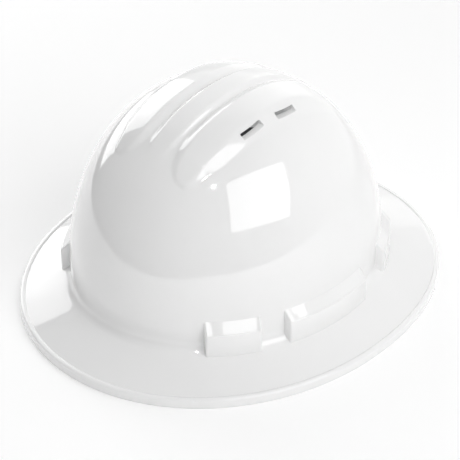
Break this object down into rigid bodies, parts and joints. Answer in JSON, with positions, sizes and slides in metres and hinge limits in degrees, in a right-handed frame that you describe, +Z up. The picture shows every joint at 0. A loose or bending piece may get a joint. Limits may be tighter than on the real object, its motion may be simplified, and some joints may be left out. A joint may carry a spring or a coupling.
{
  "type": "full brim hard hat",
  "caption": "Full brim hard hat: a ridged and vented glossy shell over a strap suspension, closed at the nape by a ratchet knob.",
  "frame": {"origin": "middle of the oval on which the brim's edge rests", "axes": "+Z up, the front of the hat faces -Y, the wearer's left is +X"},
  "size_m": [0.2856, 0.33, 0.1636],
  "materials": {
    "shell_white": "gloss",
    "key_plastic": "satin",
    "band_plastic": "satin",
    "webbing": "woven",
    "pad_cloth": "soft",
    "ratchet_plastic": "satin",
    "gear_plastic": "satin",
    "knob_plastic": "satin",
    "screw_steel": "brushed"
  },
  "bodies": {
    "hat": {"shell": "shell_white", "front_left_key": "key_plastic", "front_right_key": "key_plastic", "rear_left_key": "key_plastic", "rear_right_key": "key_plastic", "crown_strap_lower": "webbing", "crown_strap_upper": "webbing", "headband": "band_plastic", "brow_pad": "pad_cloth", "left_side_pin": "key_plastic", "right_side_pin": "key_plastic"},
    "nape": {"left_nape_strap": "band_plastic", "right_nape_strap": "band_plastic"},
    "ratchet": {"ratchet_housing": "ratchet_plastic", "ratchet_cover": "ratchet_plastic", "cover_screws": "screw_steel", "nape_pad": "pad_cloth"},
    "knob": {"ratchet_knob": "knob_plastic", "ratchet_pinion": "gear_plastic", "knob_screw": "screw_steel", "click_disc": "gear_plastic"}
  },
  "joints": [
    {"name": "nape_swing", "type": "hinge", "parent": "hat", "child": "nape", "pos_m": [0, -0.006, 0.024], "axis": [-1, 0, 0], "range_deg": [0, 20]},
    {"name": "adjuster_slide", "type": "slide", "parent": "nape", "child": "ratchet", "axis": [0, -1, 0], "range_m": [-0.013, 0.018], "deforming": ["left_nape_strap", "right_nape_strap"]},
    {"name": "knob_turn", "type": "hinge", "parent": "ratchet", "child": "knob", "pos_m": [0, 0.087, 0.02], "axis": [0, -1, 0], "range_deg": [-148.9, 206.2]}
  ],
  "couplings": [
    {"joint": "adjuster_slide", "follows": "knob_turn", "m_per_rad": 0.005}
  ]
}
